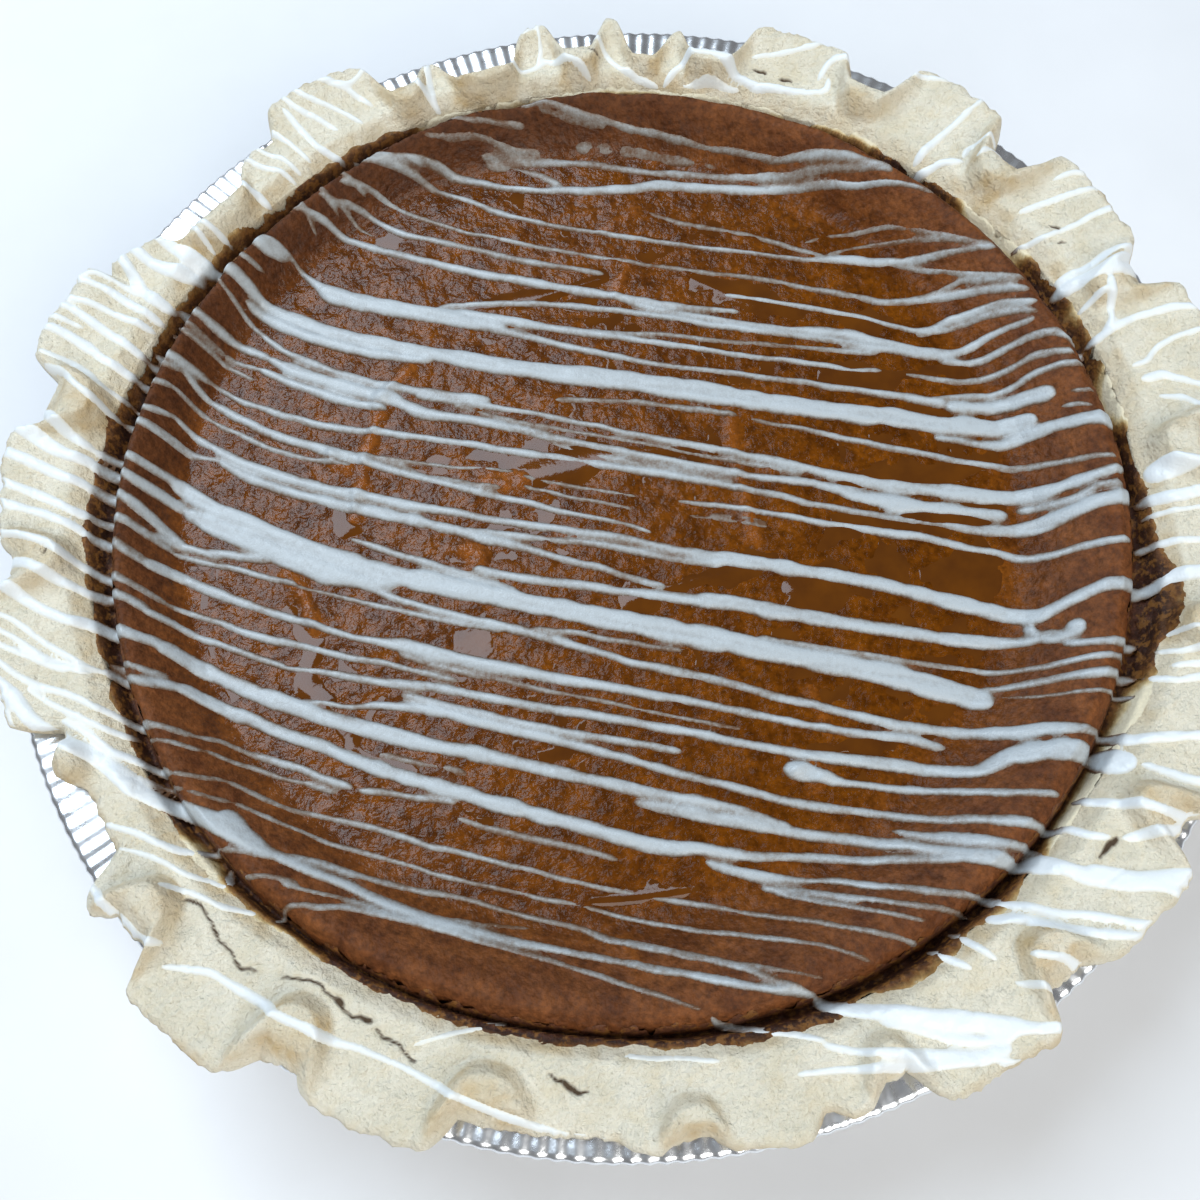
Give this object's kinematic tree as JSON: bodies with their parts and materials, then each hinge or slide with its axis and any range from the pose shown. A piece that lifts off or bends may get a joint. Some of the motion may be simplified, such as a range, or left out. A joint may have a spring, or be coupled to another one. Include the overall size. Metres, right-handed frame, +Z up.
{
  "type": "pumpkin pie",
  "caption": "Round pie in a foil tin: a fluted pale crust, a sunk brown custard filling and a thin drizzle of icing.",
  "frame": {"origin": "on the table, under the middle of the tin", "axes": "+Z up, out of the pie; +X to the right and +Y to the back as the pie is looked at"},
  "size_m": [0.2512, 0.245, 0.0471],
  "materials": {
    "foil": "bright pressed foil, crimped flange",
    "crust": "baked pastry, matte and fine grained, a little golden on its ridges",
    "filling": "set pumpkin custard, matte at the puffed edge and syrupy in the middle",
    "icing": "thin sugar icing, satin and slightly see-through"
  },
  "bodies": {
    "root": {"foil_tin": "foil", "crust": "crust", "filling": "filling"}
  },
  "joints": []
}
